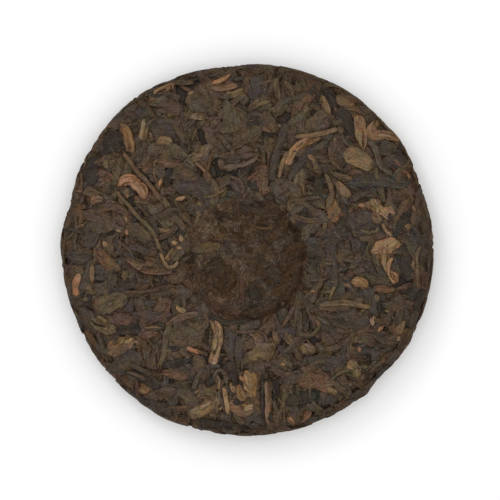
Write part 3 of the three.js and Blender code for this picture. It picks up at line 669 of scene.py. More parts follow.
class Leaf:
    """One leaf along its middle line, laid on a pile."""

    def __init__(self, rng, pile, tone, line, width, fine=1.0, known=False):
        self.tone = tone
        self.known = known
        habit = KNOWN_HABIT if known else LOOSE_HABIT
        self.felted = habit["felted"]
        along = np.concatenate([[0], np.cumsum(np.hypot(*np.diff(line, axis=0).T))])
        length = along[-1]
        across = stations_across(length, width, fine, known)
        fewest = 3 if length < CHIP_LENGTH else 5
        stations = int(np.clip(round(length / STATION_STEP * fine), fewest, MOST_STATIONS)) + 1
        t = np.linspace(0, 1, stations)
        step = length / (stations - 1)
        cx, cy = (np.interp(t * length, along, line[:, axis]) for axis in (0, 1))
        turn = np.unwrap(np.arctan2(np.gradient(cy), np.gradient(cx)))
        sides = []
        for _ in range(2):
            taper = self.narrowing(rng, t * length, width, habit["ends"])
            taper = taper * self.narrowing(rng, (1 - t) * length, width, habit["ends"])
            jagged = rng.normal(0, JAGGED, stations)
            sides.append(taper * (1 + habit["uneven"] * ripple(rng, t) + jagged))
        v = across[None, :]
        reach = np.where(v < 0, v * sides[0][:, None], v * sides[1][:, None]) * width / 2
        self.x = cx[:, None] - np.sin(turn)[:, None] * reach
        self.y = cy[:, None] + np.cos(turn)[:, None] * reach
        for row in (0, -1):
            torn = rng.normal(0, 0.03, len(across)) * width + rng.uniform(-0.4, 0.4) * reach[row]
            self.x[row] += np.cos(turn[row]) * torn
            self.y[row] += np.sin(turn[row]) * torn
        self.inward = np.broadcast_to((1 - np.abs(v)) * width / 2, reach.shape).copy()
        self.inward *= max(1, 4 * LEAF_EDGE_SHADE_WIDTH / width)  # a narrow leaf has a narrower line of painted shade
        # Painted shade along each edge, fading in and out along the leaf
        rims = [np.clip(0.95 + 0.6 * ripple(rng, t), 0.3, 1)[:, None] for _ in range(2)]
        self.outline = np.where(v < 0, *rims)
        rest = pile.read(pile.height, self.x, self.y)
        rest = STIFFNESS * soften(rest, 3) + (1 - STIFFNESS) * rest
        flatness = 0.5 if known and (width > BROAD_WIDTH or length < SMALL_LENGTH) else 1
        # A strip of painted gap shade lies nearly flat, as a dark line
        if tone == "gap":
            flatness = 0.1
        relief = self.relief(rng, t, v, width) * flatness
        self.crest = np.clip((relief - relief.mean()) / 0.4, -1, 1)
        self.z = rest + relief
        self.z[:, [0, -1]] = rest[:, [0, -1]] - EDGE_DROP
        self.z[[0, -1], :] = np.minimum(self.z[[0, -1], :], rest[[0, -1], :])
        self.keel_x, self.keel_y = cx[:, None], cy[:, None]
        self.keel_z = rest.min(axis=1)[:, None] - KEEL_DROP
        self.lie = np.stack([np.broadcast_to((t * length)[:, None], reach.shape), reach], axis=-1)
        self.lie = self.lie + (rng.uniform(0, 500), 0)
        patch = np.cos(rng.uniform(1, 3) * v + 6 * rng.random()) + 1.5 * ripple(rng, t)[:, None]
        patch = smooth_step(patch + rng.uniform(-0.6, 0.4))
        self.patch = patch * rng.uniform(0.05, habit["patched"])
        near = 0.8 * PILE_CELL
        widest = width * np.abs(np.diff(across)).max() / 2
        rows, columns = (max(1, math.ceil(gap / near)) for gap in (step, widest))
        pile.lay(*(finer(values, rows, columns) for values in (self.x, self.y, self.z)))

    def narrowing(self, rng, distance, width, ends):
        """Share of the width left at a distance from an end, which is torn off, round or pointed."""
        reach = width * rng.choice(ends) * rng.uniform(0.8, 1.2)
        power = rng.uniform(1.1, 2.0)
        return np.maximum((1 - (1 - np.clip(distance / reach, 0, 1)) ** power) ** (1 / power), 0.25)

    def relief(self, rng, t, v, width):
        """Thickness, folds and creases of a leaf over what it rests on."""
        if width < TWISTED_WIDTH:
            thick = min(0.34 * width, 0.85) * rng.uniform(0.8, 1.15)
            return thick * np.sqrt(1 - 0.9 * v**2) * (1 + 0.12 * ripple(rng, t))[:, None]
        thick = rng.uniform(0.3, 0.5)
        body = thick * (1 - 0.5 * np.abs(v) ** 3)
        line = rng.uniform(-0.5, 0.5) + 0.25 * ripple(rng, t)
        fold = rng.uniform(0.1, 0.4) * rng.choice([-1, 1])
        body = body + fold * np.tanh((v - line[:, None]) / 0.14)
        swing = 2 * rng.random() + 0.7 * ripple(rng, t)[:, None]
        ridges = np.abs(np.sin(math.pi / 2 * (rng.uniform(0.9, 2.4) * v + swing)))
        ridges = rng.uniform(0.15, 0.5) * (np.sqrt(ridges) - 0.6)
        creases = 0.18 * ripple(rng, t, (3, 5, 7))[:, None] * np.cos(2 * v + 3 * rng.random())
        return body + ridges + creases


def press(form, pile, face, leaves):
    """Presses the pile of a face flat, as the mould does, and sets each leaf's final points."""
    mean = pile.blurred(PRESS_SPAN / 2)
    beside = pile.beside()

    def lift(x, y, z):
        over = z - pile.read(mean, x, y)
        relief = np.where(over > 0, TOP_RELIEF, GAP_RELIEF)
        share = 1 - (1 - DIMPLE_RELIEF) * dimple_share(face, x, y)
        return form.cover - TOP_RELIEF + relief * np.tanh(over / relief) * share

    for leaf in leaves:
        leaf.points = form.on_cake(face, leaf.x, leaf.y, lift(leaf.x, leaf.y, leaf.z))
        # Painted shade where other leaves stand over this one
        over = pile.read(beside, leaf.x, leaf.y) - leaf.z
        leaf.sunk = np.clip((over - SUNK_START) / SUNK_SPAN, 0, 1)
        leaf.in_dimple = dimple_share(face, leaf.x, leaf.y)
        if leaf.known:
            leaf.points[..., 2] += DIMPLE_RAISE * leaf.in_dimple
        if leaf.in_dimple.any():
            leaf.keel = leaf.points - (0, 0, DIMPLE_LEAF)
        else:
            low = lift(leaf.keel_x, leaf.keel_y, leaf.keel_z)
            leaf.keel = form.on_cake(face, leaf.keel_x, leaf.keel_y, low)


def leaf_faces(rows, columns, under):
    """Triangles of a closed leaf: its top grid and then its underside, whose rows may be one point."""
    top = np.arange(rows * columns).reshape(rows, columns)
    low = rows * columns + np.arange(rows * under).reshape(rows, under)
    loop = np.hstack([top, low[:, ::-1]])
    ahead = np.roll(loop, -1, axis=1)
    corners = (loop[:-1], loop[1:], ahead[1:], ahead[:-1])
    a, b, c, d = (corner.ravel() for corner in corners)
    parts = [np.column_stack([a, b, c]), np.column_stack([a, c, d])]
    for row, turn in ((0, 1), (rows - 1, -1)):
        middle = np.full(loop.shape[1] - 2, loop[row, -1])
        parts.append(np.column_stack([middle, loop[row, :-2], loop[row, 1:-1]])[:, ::turn])
    return np.vstack(parts)


def leaves_mesh(name, leaves, rng, brightness):
    """One mesh of many leaves, with each leaf's tint, painted shade and light included, and the way it lies
    as attributes.
    """
    spots, faces, tints, lies = [], [], [], []
    start = 0
    for leaf in leaves:
        rows, columns = leaf.x.shape
        under = leaf.keel.shape[1]
        triangles = leaf_faces(rows, columns, under)
        spots += [leaf.points.reshape(-1, 3), leaf.keel.reshape(-1, 3)]
        faces.append(triangles + start)
        colour, spread, kind = TONES[leaf.tone]
        crest = CREST_SHADE.get(kind, PLAIN_CREST_SHADE)
        tint = linear(colour) * rng.normal(1, spread) * rng.normal(1, 0.03, 3)
        other = linear(TONES[pick(rng, PATCH_TONES)][0])
        patch = leaf.patch[..., None]
        own = tint * (1 - patch) + other * patch
        cloth = leaf.felted * leaf.in_dimple[..., None]
        own = own * (1 - cloth) + linear(DIMPLE_TINT) * cloth
        # Painted shade and light: darker where other leaves stand over it, paler crests and darker hollows
        # on its folds, a dark line along its edges, darker in the dimple and towards the rim of the cake
        shade = (1 - SUNK_SHADE * leaf.sunk) * (1 + crest * leaf.crest)
        outline = leaf.outline * (1 - 0.8 * leaf.in_dimple)
        shade = shade * (1 - LINE_SHADE * outline * (1 - smooth_step(leaf.inward / LEAF_EDGE_SHADE_WIDTH)))
        shade = shade * (1 - (1 - DIMPLE_SHADE) * (0.4 + leaf.felted) * leaf.in_dimple)
        outer = np.hypot(leaf.points[..., 0], leaf.points[..., 1])
        shade = shade * (1 - EDGE_SHADE * smooth_step((outer - EDGE_START) / EDGE_SPAN))
        shade = brightness * shade[..., None] ** SHADE_TINT
        low_tint = np.tile(tint * UNDERSIDE_SHADE * brightness, (rows * under, 1))
        tints += [(own * shade).reshape(-1, 3), low_tint]
        low_lie = leaf.lie if under > 1 else leaf.lie[:, columns // 2]
        lies += [leaf.lie.reshape(-1, 2), low_lie.reshape(-1, 2)]
        start += rows * (columns + under)
    return painted_mesh(name, np.vstack(spots), np.vstack(faces), np.vstack(tints), np.vstack(lies))


def painted_mesh(name, spots, faces, tints, lies):
    """A mesh from triangles in millimetres, with the tint of each point and how the leaf lies there."""
    mesh = bpy.data.meshes.new(name)
    mesh.vertices.add(len(spots))
    mesh.vertices.foreach_set("co", (spots * MM).ravel())
    mesh.loops.add(faces.size)
    mesh.loops.foreach_set("vertex_index", faces.ravel())
    mesh.polygons.add(len(faces))
    mesh.polygons.foreach_set("loop_start", np.arange(0, faces.size, 3))
    mesh.polygons.foreach_set("use_smooth", np.ones(len(faces), bool))
    mesh.update(calc_edges=True)
    tint = mesh.attributes.new("tint", "FLOAT_COLOR", "POINT")
    opaque = np.ones(len(spots))
    tint.data.foreach_set("color", np.column_stack([np.clip(tints, 0, 1), opaque]).ravel())
    lie = mesh.uv_layers.new(name="lie")
    lie.data.foreach_set("uv", lies[faces.ravel()].ravel())
    mesh.validate()
    return mesh


def pick(rng, shares):
    names = list(shares)
    weights = np.array([shares[n] for n in names], float)
    return names[rng.choice(len(names), p=weights / weights.sum())]


def place(rng, reach):
    """A random spot on a face laid out flat, as radius and angle."""
    return reach * math.sqrt(rng.random()), rng.uniform(0, 2 * math.pi)


def loose_leaves(rng, pile, form, face, sorts, fine):
    """Leaves of some sorts mixed and scattered over a face. On the edge of the cake most run round it."""
    made = []
    reach = form.girth + 5 if face == "back" else form.whole - form.girth - 2
    order = rng.permutation(np.repeat(np.arange(len(sorts)), [sort[0] for sort in sorts]))
    for sort in order:
        _, lengths, widths, tones = sorts[sort]
        radius, angle = place(rng, reach)
        x, y = radius * math.cos(angle), radius * math.sin(angle)
        length = rng.triangular(lengths[0], sum(lengths) * 0.42, lengths[1])
        width = min(rng.uniform(*widths), WIDEST * length)
        heading = rng.uniform(0, 360)
        bend = rng.normal(0, 60 if width < 5 else 30)
        sway = rng.uniform(0.15, 0.8) if width < TWISTED_WIDTH else rng.uniform(0.08, 0.45)
        sway *= min(1, length / 15)
        if radius > reach - EDGE_BAND:
            heading = math.degrees(angle) + 90 + rng.normal(0, 35)
        away = math.hypot(x - DIMPLE_X, y - DIMPLE_Y)
        if face == "back" and away < DIMPLE_RIM and rng.random() < DIMPLE_BARE:
            continue
        tone = pick(rng, tones)
        line = arc(rng, x, y, heading, length, bend, sway)
        if face == "back" and away > DIMPLE_RIM:
            line = outside_dimple(line)
        made.append(Leaf(rng, pile, tone, line, width, fine))
    return made


def laid_out(form, points):
    """Points seen from above, on the back laid out flat. What is outside the core goes down its side."""
    seen = np.hypot(points[:, 0], points[:, 1])
    reach = 0.98 * (seen - form.bulge(np.arctan2(points[:, 1], points[:, 0]), seen))
    top = form.length <= form.girth
    flat = np.interp(reach, form.r[top], form.length[top]) + np.maximum(reach - form.radius, 0)
    return points * (flat / seen)[:, None]


def known_leaves(rng, pile, form):
    """The leaves that can be told apart, broad ones first."""
    rows = [(tone, row) for tone, rows in KNOWN_LEAVES.items() for row in rows]
    rows.sort(key=lambda row: -row[1][0])
    made = []
    for tone, row in rows:
        line = laid_out(form, through(row[1:]))
        made.append(Leaf(rng, pile, tone, line, KNOWN_WIDER * row[0], known=True))
    return made


def pile_of_leaves(form, settings, face):
    """All leaves of a face, from the ground up, and then pressed."""
    rng = np.random.default_rng(SEED + (face == "front"))
    pile = Pile(form.girth + 30)
    fine = 1.0 if face == "back" else FRONT_FINENESS
    ground = [(settings.broad, *GROUND_SIZE, GROUND_TONES)]
    leaves = loose_leaves(rng, pile, form, face, ground, fine)
    cover = [
        (settings.broad // 4, *BROAD_SIZE, LEAF_TONES),
        (settings.folded, *FOLDED_SIZE, LEAF_TONES),
        (settings.narrow, *NARROW_SIZE, STEM_TONES),
    ]
    leaves += loose_leaves(rng, pile, form, face, cover, fine)
    if face == "back":
        leaves += known_leaves(rng, pile, form)
    count = settings.crumbs if face == "back" else settings.crumbs // 3
    crumbs = [(count, *CRUMB_SIZE, CRUMB_TONES)]
    leaves += loose_leaves(rng, pile, form, face, crumbs, fine)
    press(form, pile, face, leaves)
    return leaves


def fuzz(rng, span, x, y):
    """Random values at points, smooth over a span, with a spread of 1."""
    noise = Pile(FUZZ_REACH)
    noise.height = rng.normal(0, 1, noise.height.shape)
    blurred = noise.blurred(span)
    return noise.read(blurred / blurred.std(), x, y)


def felt_faces():
    """Triangles of a round sheet: its top with a point in the middle, its underside and its rim."""
    grid = np.arange(FELT_RINGS * FELT_SIDES).reshape(FELT_RINGS, FELT_SIDES)
    ahead = np.roll(grid, -1, axis=1)
    upper = np.vstack([
        np.stack([grid[:-1], grid[1:], ahead[1:]], axis=-1).reshape(-1, 3),
        np.stack([grid[:-1], ahead[1:], ahead[:-1]], axis=-1).reshape(-1, 3),
        np.column_stack([np.full(FELT_SIDES, grid.size), grid[0], ahead[0]]),
    ])
    below = grid.size + 1
    rim = [
        np.column_stack([grid[-1], grid[-1] + below, ahead[-1] + below]),
        np.column_stack([grid[-1], ahead[-1] + below, ahead[-1]]),
    ]
    return np.vstack([upper, upper[:, ::-1] + below, *rim])


def felt_tint(rng, reach, x, y, rough):
    """Colours of the felt: its patches and its redder wall, with painted shade over the dimple, deeper on
    the wall and most on its steep side, and in the felt's hollows, whose bumps are painted paler.
    """
    tint = np.tile(linear(DIMPLE_TINT), (*x.shape, 1))
    bent = [values + FELT_BEND * fuzz(rng, 1.4, x, y) for values in (x, y)]
    for px, py, wide, high, tone in FELT_PATCHES:
        near = np.exp(-(((bent[0] - px) / wide) ** 2) - ((bent[1] - py) / high) ** 2)
        share = 0.8 * smooth_step(1.7 * near - 0.1)[..., None]
        tint = tint * (1 - share) + linear(TONES[tone][0]) * share
    bearing = np.degrees(np.arctan2(y - DIMPLE_Y, x - DIMPLE_X)) - DIMPLE_STEEP_SIDE
    wall = np.clip((reach - FELT_WALL) / 4, 0, 1) * (0.75 + 0.25 * np.cos(np.radians(bearing)))
    tint = tint * (1 - 0.6 * wall[..., None]) + linear(WALL_TINT) * 0.6 * wall[..., None]
    # Painted shade: the dimple darker, its wall more so, the felt's hollows darker and its bumps paler
    shade = DIMPLE_SHADE * (1 - 0.3 * wall) * np.clip(1 + 1.8 * rough, 0.45, 1.4)
    return tint * shade[..., None]


def felt_mesh(name, form, rng, brightness):
    """The skin of pulped leaf that the cloth left in the dimple: a sheet with its rim under the leaves."""
    reach = ((np.arange(FELT_RINGS) + 0.5) / FELT_RINGS * FELT_RADIUS)[:, None]
    angle = np.arange(FELT_SIDES) / FELT_SIDES * 2 * math.pi
    x = DIMPLE_X + reach * np.cos(angle)
    y = DIMPLE_Y + reach * np.sin(angle)
    rough = sum(height * fuzz(rng, span, x, y) for span, height in FELT_ROUGHNESS)
    sink = FELT_SINK * smooth_step((reach - FELT_RADIUS + FELT_EDGE) / FELT_EDGE)
    lift = form.cover - TOP_RELIEF - 0.05 + 0.6 * rough - sink
    top = form.on_cake("back", x, y, lift).reshape(-1, 3)
    sheet = np.vstack([top, top[:FELT_SIDES].mean(axis=0)])
    spots = np.vstack([sheet, sheet - (0, 0, FELT_THICKNESS)])
    tint = brightness * felt_tint(rng, reach, x, y, rough)
    tint = np.vstack([tint.reshape(-1, 3), tint[0].mean(axis=0)])
    return painted_mesh(name, spots, felt_faces(), np.vstack([tint, tint]), spots[:, :2])


class Value:
    """A shader socket, so that an expression on values adds its Math nodes."""

    def __init__(self, nodes, socket):
        self.nodes = nodes
        self.socket = socket

    def maths(self, operation, *operands):
        values = {i: operand for i, operand in enumerate(operands)}
        return self.nodes.add("ShaderNodeMath", {"operation": operation}, values)

    def __add__(self, other):
        return self.maths("ADD", self, other)

    def __sub__(self, other):
        return self.maths("SUBTRACT", self, other)

    def __rsub__(self, other):
        return self.maths("SUBTRACT", other, self)

    def __mul__(self, other):
        return self.maths("MULTIPLY", self, other)

    def __abs__(self):
        return self.maths("ABSOLUTE", self)


class Nodes:
    """The node tree of a material or of the world."""

    def __init__(self, owner):
        owner.use_nodes = True
        self.tree = owner.node_tree
        self.tree.nodes.clear()

    def add(self, kind, settings, inputs, output=0):
        """Adds a node with its settings, then the values or links of its sockets."""
        node = self.tree.nodes.new(kind)
        for name, value in settings.items():
            setattr(node, name, value)
        for key, value in inputs.items():
            if isinstance(value, Value):
                self.tree.links.new(value.socket, node.inputs[key])
            else:
                node.inputs[key].default_value = value
        return Value(self, node.outputs[output]) if len(node.outputs) else None

    def scaled(self, vector, x, y, z):
        return self.add("ShaderNodeVectorMath", {"operation": "MULTIPLY"}, {0: vector, 1: (x, y, z)})

    def shaded(self, colour, factor):
        """A colour times a value."""
        return self.add("ShaderNodeVectorMath", {"operation": "SCALE"}, {"Vector": colour, "Scale": factor})

    def mixed(self, factor, a, b):
        settings = {"data_type": "RGBA", "blend_type": "MIX"}
        return self.add("ShaderNodeMix", settings, {"Factor": factor, 6: a, 7: b}, 2)

    def painted(self, colour, factor, screen_colour):
        """A colour with a flat one over part of it."""
        return self.mixed(factor, colour, (*linear(screen_colour), 1))

    def varied(self, colour, factor, one, other):
        """A colour that goes from one tint of itself to another."""
        return self.mixed(factor, self.scaled(colour, *one), self.scaled(colour, *other))

    def noise(self, vector, scale, detail=2.0, roughness=0.5):
        inputs = {"Vector": vector, "Scale": scale, "Detail": detail, "Roughness": roughness}
        return self.add("ShaderNodeTexNoise", {"noise_dimensions": "3D"}, inputs)

    def remap(self, value, low, high, to_low, to_high):
        inputs = {0: value, 1: low, 2: high, 3: to_low, 4: to_high}
        return self.add("ShaderNodeMapRange", {"clamp": True}, inputs)

    def bump(self, strength, distance, height):
        inputs = {"Strength": strength, "Distance": distance, "Height": height}
        return self.add("ShaderNodeBump", {}, inputs)

    def finish(self, colour, roughness, specular, normal=None):
        inputs = {"Base Color": colour, "Roughness": roughness, "Specular IOR Level": specular}
        if normal:
            inputs["Normal"] = normal
        shader = self.add("ShaderNodeBsdfPrincipled", {}, inputs)
        self.add("ShaderNodeOutputMaterial", {}, {"Surface": shader})


def leaf_material(settings, name, streak, specular, rough):
    """Dry leaf: streaks and mottling, painted shade in its folds and cracks, and painted glints as pale
    specks, with creases as bump.
    """
    material = bpy.data.materials.new(name)
    nodes = Nodes(material)
    tint = nodes.add("ShaderNodeAttribute", {"attribute_name": "tint"}, {})
    lie = nodes.add("ShaderNodeUVMap", {"uv_map": "lie"}, {})
    spot = nodes.add("ShaderNodeTexCoord", {}, {}, 3)
    fibres = nodes.noise(nodes.scaled(lie, 0.2, 1.7, 0), 1.0, 4.0, 0.65)
    wide = nodes.noise(spot, 210.0, 3.0, 0.6)
    grain = nodes.noise(spot, 1500.0, 2.0, 0.7)
    folds = abs(nodes.noise(nodes.scaled(lie, 0.05, 0.4, 0), 1.0, 1.5, 0.5) - 0.5)
    cracks = abs(nodes.noise(spot, 170.0, 3.0, 0.55) - 0.5)
    shade = nodes.remap(fibres, 0.3, 0.7, 1 - streak, 1 + streak)
    shade = shade * nodes.remap(wide, 0.32, 0.68, 0.9, 1.1)
    shade = shade * nodes.remap(grain, 0.3, 0.72, 1 - 0.4 * rough, 1 + 0.5 * rough)
    colour = nodes.shaded(tint, shade)
    warmth = nodes.remap(nodes.noise(spot, 170.0, 5.0, 0.65), 0.38, 0.62, 0.0, 1.0)
    colour = nodes.varied(colour, warmth, COOLER, WARMER)
    rust = nodes.remap(nodes.noise(spot, 240.0, 4.0, 0.65), 0.38, 0.62, 0.0, 1.0)
    colour = nodes.varied(colour, rust, GREENER, REDDER)
    # Painted shade in the folds and cracks
    colour = nodes.painted(colour, nodes.remap(folds, 0.0, 0.013, 0.6, 0.0), CREASE_SHADE_COLOUR)
    colour = nodes.painted(colour, nodes.remap(cracks, 0.0, 0.016, 0.7 * rough, 0.0), CREASE_SHADE_COLOUR)
    dust = nodes.remap(nodes.noise(spot, 420.0, 3.0, 0.65), 0.5, 0.75, 0.0, 0.3)
    colour = nodes.painted(colour, dust, DUST_COLOUR)
    # Painted glints as pale specks
    speck = nodes.remap(nodes.noise(spot, 1300.0, 1.0, 0.5), 0.72, 0.78, 0.0, 0.6)
    colour = nodes.painted(colour, speck, GLINT_COLOUR)
    roughness = nodes.remap(wide, 0.3, 0.7, settings.roughness - 0.1, settings.roughness + 0.12)
    height = fibres * 0.12 + grain * 0.3
    height = height + nodes.remap(folds, 0.0, 0.1, 0.0, 0.6) + nodes.remap(cracks, 0.0, 0.06, 0.0, 0.5)
    nodes.finish(colour, roughness, specular, nodes.bump(1.0, 0.0006, height))
    return material


def felt_material(settings):
    """Pulped leaf with the print of the cloth: short blurred fibres every way."""
    material = bpy.data.materials.new("felt")
    nodes = Nodes(material)
    tint = nodes.add("ShaderNodeAttribute", {"attribute_name": "tint"}, {})
    spot = nodes.add("ShaderNodeTexCoord", {}, {}, 3)
    inputs = {"Vector": spot, "Scale": 90.0, "Detail": 1.0}
    swirl = nodes.add("ShaderNodeTexNoise", {"noise_dimensions": "3D"}, inputs, 1)
    swirl = nodes.scaled(swirl, 0.012, 0.012, 0)
    bent = nodes.add("ShaderNodeVectorMath", {"operation": "ADD"}, {0: spot, 1: swirl})
    upright = nodes.noise(nodes.scaled(bent, 1.0, 0.25, 1.0), 1500.0, 3.0, 0.6)
    level = nodes.noise(nodes.scaled(bent, 0.3, 1.0, 1.0), 1300.0, 3.0, 0.6)
    which = nodes.remap(nodes.noise(spot, 120.0, 2.0, 0.5), 0.42, 0.58, 0.0, 1.0)
    fibres = upright * which + level * (1 - which)
    wide = nodes.noise(spot, 330.0, 3.0, 0.6)
    shade = nodes.remap(fibres, 0.34, 0.66, 0.3, 1.72) * nodes.remap(wide, 0.3, 0.7, 0.76, 1.24)
    speck = nodes.remap(nodes.noise(spot, 1500.0, 1.0, 0.5), 0.7, 0.76, 0.0, 0.5)
    colour = nodes.painted(nodes.shaded(tint, shade), speck, FELT_SPECK_COLOUR)
    roughness = nodes.remap(wide, 0.3, 0.7, settings.roughness, settings.roughness + 0.2)
    nodes.finish(colour, roughness, 0.08, nodes.bump(0.7, 0.0005, fibres * 0.8 + wide * 0.4))
    return material


def core_material(settings):
    """Packed crumbs of leaf, nearly black in the gaps."""
    material = bpy.data.materials.new("packed_tea")
    nodes = Nodes(material)
    spot = nodes.add("ShaderNodeTexCoord", {}, {}, 3)
    crumbs = nodes.noise(spot, 600.0, 4.0, 0.6)
    paler = nodes.remap(crumbs, 0.35, 0.7, 0.0, 0.5)
    colour = nodes.painted((*settings.core_colour, 1), paler, CORE_CRUMB_COLOUR)
    nodes.finish(colour, 0.75, 0.2, nodes.bump(0.8, 0.0005, crumbs))
    return material


def floor_material(settings):
    material = bpy.data.materials.new("white_floor")
    nodes = Nodes(material)
    spot = nodes.add("ShaderNodeTexCoord", {}, {}, 3)
    roughness = nodes.remap(nodes.noise(spot, 300.0), 0.3, 0.7, 0.85, 0.95)
    nodes.finish((*settings.floor_colour, 1), roughness, 0.0)
    return material


def new_piece(name, mesh, material):
    """An object that rides with the cake, with its material."""
    piece = bpy.data.objects.new(name, mesh)
    bpy.context.scene.collection.objects.link(piece)
    mesh.materials.append(material)
    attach(piece, "root")
    return piece


def deselect():
    for item in bpy.context.selected_objects:
        item.select_set(False)


class TEACAKE_OT_core(bpy.types.Operator):
    """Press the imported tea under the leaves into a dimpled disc"""

    bl_idname = "teacake.core"
    bl_label = "Packed core"

    SIDES = 160
    RINGS = 90
    POLE = 1.5  # radius of the flat cap in the middle of each face
    CRUMB_HEIGHT = 0.5
    CRUMB_SPAN = 3
    CLEARANCE = 2.5  # how much wider the core's own dimple is than the leaves over it
    DEEPER = 1.15  # and how much deeper

    def execute(self, context):
        settings = context.scene.teacake_cake
        form = CakeForm(settings)
        rings = np.linspace(self.POLE, form.whole - self.POLE, self.RINGS)
        radii = np.interp(rings, form.length, form.r)
        heights = np.interp(rings, form.length, form.z)
        deselect()
        bpy.ops.mesh.primitive_circle_add(
            vertices=self.SIDES,
            radius=radii[0] * MM,
            fill_type="NGON",
            location=(0, 0, heights[0] * MM),
        )
        core = context.object
        bpy.ops.object.mode_set(mode="EDIT")
        bpy.ops.mesh.select_all(action="SELECT")
        for rise, wider in zip(np.diff(heights), radii[1:] / radii[:-1]):
            bpy.ops.mesh.extrude_region_move(TRANSFORM_OT_translate={"value": (0, 0, rise * MM)})
            bpy.ops.transform.resize(value=(wider, wider, 1))
        bpy.ops.object.mode_set(mode="OBJECT")
        bpy.ops.object.transform_apply(location=True, rotation=False, scale=False)
        self.shape(form, core.data)
        crumbs = bpy.data.textures.new("crumbs", "CLOUDS")
        crumbs.noise_scale = self.CRUMB_SPAN * MM
        displace = core.modifiers.new("crumbs", "DISPLACE")
        displace.texture = crumbs
        displace.strength = self.CRUMB_HEIGHT * MM
        bpy.ops.object.modifier_apply(modifier=displace.name)
        bpy.ops.object.mode_set(mode="EDIT")
        bpy.ops.mesh.select_all(action="SELECT")
        bpy.ops.mesh.normals_make_consistent(inside=False)
        bpy.ops.object.mode_set(mode="OBJECT")
        bpy.ops.object.shade_smooth()
        core.name = core.data.name = "packed_core"
        core.data.materials.append(core_material(settings))
        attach(core, "root")
        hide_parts("tea_cake")
        return {"FINISHED"}

    def shape(self, form, mesh):
        """Gives the disc its uneven outline and sinks the dimple."""
        spots = np.empty(len(mesh.vertices) * 3)
        mesh.vertices.foreach_get("co", spots)
        spots = spots.reshape(-1, 3) / MM
        radius = np.hypot(spots[:, 0], spots[:, 1])
        angle = np.arctan2(spots[:, 1], spots[:, 0])
        radius = radius + form.bulge(angle, radius)
        spots[:, 0], spots[:, 1] = radius * np.cos(angle), radius * np.sin(angle)
        above = spots[:, 2] > FRONT_TO_GIRTH
        depth = self.DEEPER * dimple_depth(spots[:, 0], spots[:, 1], self.CLEARANCE)
        spots[:, 2] -= np.where(above, depth, 0)
        mesh.vertices.foreach_set("co", (spots * MM).ravel())
        mesh.update()


class TEACAKE_OT_leaves(bpy.types.Operator):
    """Lay leaves, stems and crumbs on both faces and press them flat, one piece for each kind"""

    bl_idname = "teacake.leaves"
    bl_label = "Pressed leaves"

    def execute(self, context):
        cake, settings = context.scene.teacake_cake, context.scene.teacake_leaves
        form = CakeForm(cake)
        leaves = [leaf for face in ("back", "front") for leaf in pile_of_leaves(form, settings, face)]
        rng = np.random.default_rng(SEED)
        for kind, look in LOOKS.items():
            own = [leaf for leaf in leaves if TONES[leaf.tone][2] == kind]
            mesh = leaves_mesh(kind, own, rng, settings.brightness)
            new_piece(kind, mesh, leaf_material(settings, *look))
        felt = felt_mesh("felt", form, rng, settings.brightness)
        new_piece("felt", felt, felt_material(settings))
        return {"FINISHED"}


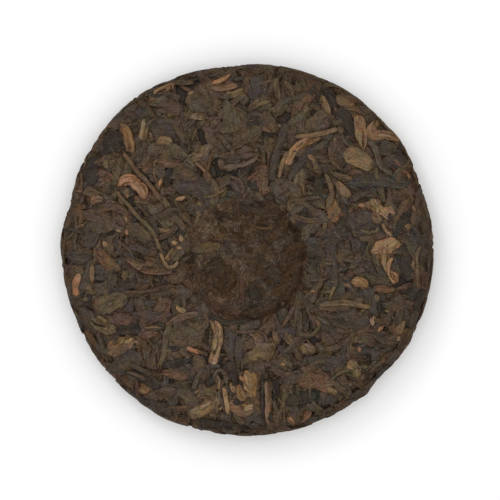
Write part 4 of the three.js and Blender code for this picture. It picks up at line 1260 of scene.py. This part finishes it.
class TEACAKE_OT_stage(bpy.types.Operator):
    """Set up the white floor, the soft light and the camera straight above"""

    bl_idname = "teacake.stage"
    bl_label = "Stage"

    FLOOR_SIZE = 8
    SENSOR = 36.0
    MIDDLE = (1.3 * MM, -0.3 * MM)  # what the middle of the picture shows
    CLIP_END = 20
    LAMPS = (  # name, place, size and power
        ("overhead", (0, 0, 1.3), 1.2, 2.4),
        ("key", (-0.55, 0.7, 0.9), 0.4, 1.5),
    )
    SKY = 0.99  # strength of the light from all round

    def execute(self, context):
        settings = context.scene.teacake_stage
        deselect()
        bpy.ops.mesh.primitive_plane_add(size=self.FLOOR_SIZE, location=(0, 0, 0))
        floor = context.object
        floor.name = "floor"
        floor.data.materials.append(floor_material(settings))
        self.camera(context, settings)
        for lamp in self.LAMPS:
            self.light(*lamp)
        world = bpy.data.worlds.new("studio")
        context.scene.world = world
        nodes = Nodes(world)
        back = nodes.add("ShaderNodeBackground", {}, {"Color": (1, 1, 1, 1), "Strength": self.SKY})
        nodes.add("ShaderNodeOutputWorld", {}, {"Surface": back})
        context.scene.view_settings.view_transform = "Standard"
        return {"FINISHED"}

    def camera(self, context, settings):
        camera = bpy.data.objects.new("camera", bpy.data.cameras.new("camera"))
        context.scene.collection.objects.link(camera)
        context.scene.camera = camera
        camera.location = (*self.MIDDLE, settings.camera_height)
        camera.data.sensor_width = self.SENSOR
        camera.data.lens = self.SENSOR * (settings.camera_height - cad_high.z) / settings.view_width
        camera.data.clip_end = self.CLIP_END

    def light(self, name, place, size, power):
        lamp = bpy.data.lights.new(name, "AREA")
        lamp.shape = "DISK"
        lamp.size = size
        lamp.energy = power
        holder = bpy.data.objects.new(name, lamp)
        bpy.context.scene.collection.objects.link(holder)
        holder.location = place
        holder.rotation_euler = (-Vector(place)).to_track_quat("-Z", "Y").to_euler()


class TEACAKE_PT_panel(bpy.types.Panel):
    """Sizes and steps of the tea cake"""

    bl_idname = "TEACAKE_PT_panel"
    bl_label = "Tea cake"
    bl_space_type = "VIEW_3D"
    bl_region_type = "UI"
    bl_category = "Tea cake"

    def draw(self, context):
        scene = context.scene
        for group in (scene.teacake_cake, scene.teacake_leaves, scene.teacake_stage):
            for name in group.__annotations__:
                self.layout.prop(group, name)
        for step in STEPS:
            self.layout.operator(step.bl_idname)


STEPS = (TEACAKE_OT_core, TEACAKE_OT_leaves, TEACAKE_OT_stage)
GROUPS = {"teacake_cake": CakeSettings, "teacake_leaves": LeafSettings, "teacake_stage": StageSettings}


def register():
    for name, group in GROUPS.items():
        bpy.utils.register_class(group)
        setattr(bpy.types.Scene, name, PointerProperty(type=group))
    for step in STEPS:
        bpy.utils.register_class(step)
    bpy.utils.register_class(TEACAKE_PT_panel)


def unregister():
    bpy.utils.unregister_class(TEACAKE_PT_panel)
    for step in reversed(STEPS):
        bpy.utils.unregister_class(step)
    for name, group in reversed(GROUPS.items()):
        delattr(bpy.types.Scene, name)
        bpy.utils.unregister_class(group)


def main():
    register()
    bpy.ops.teacake.core()
    bpy.ops.teacake.leaves()
    bpy.ops.teacake.stage()


if __name__ == "__main__":
    main()
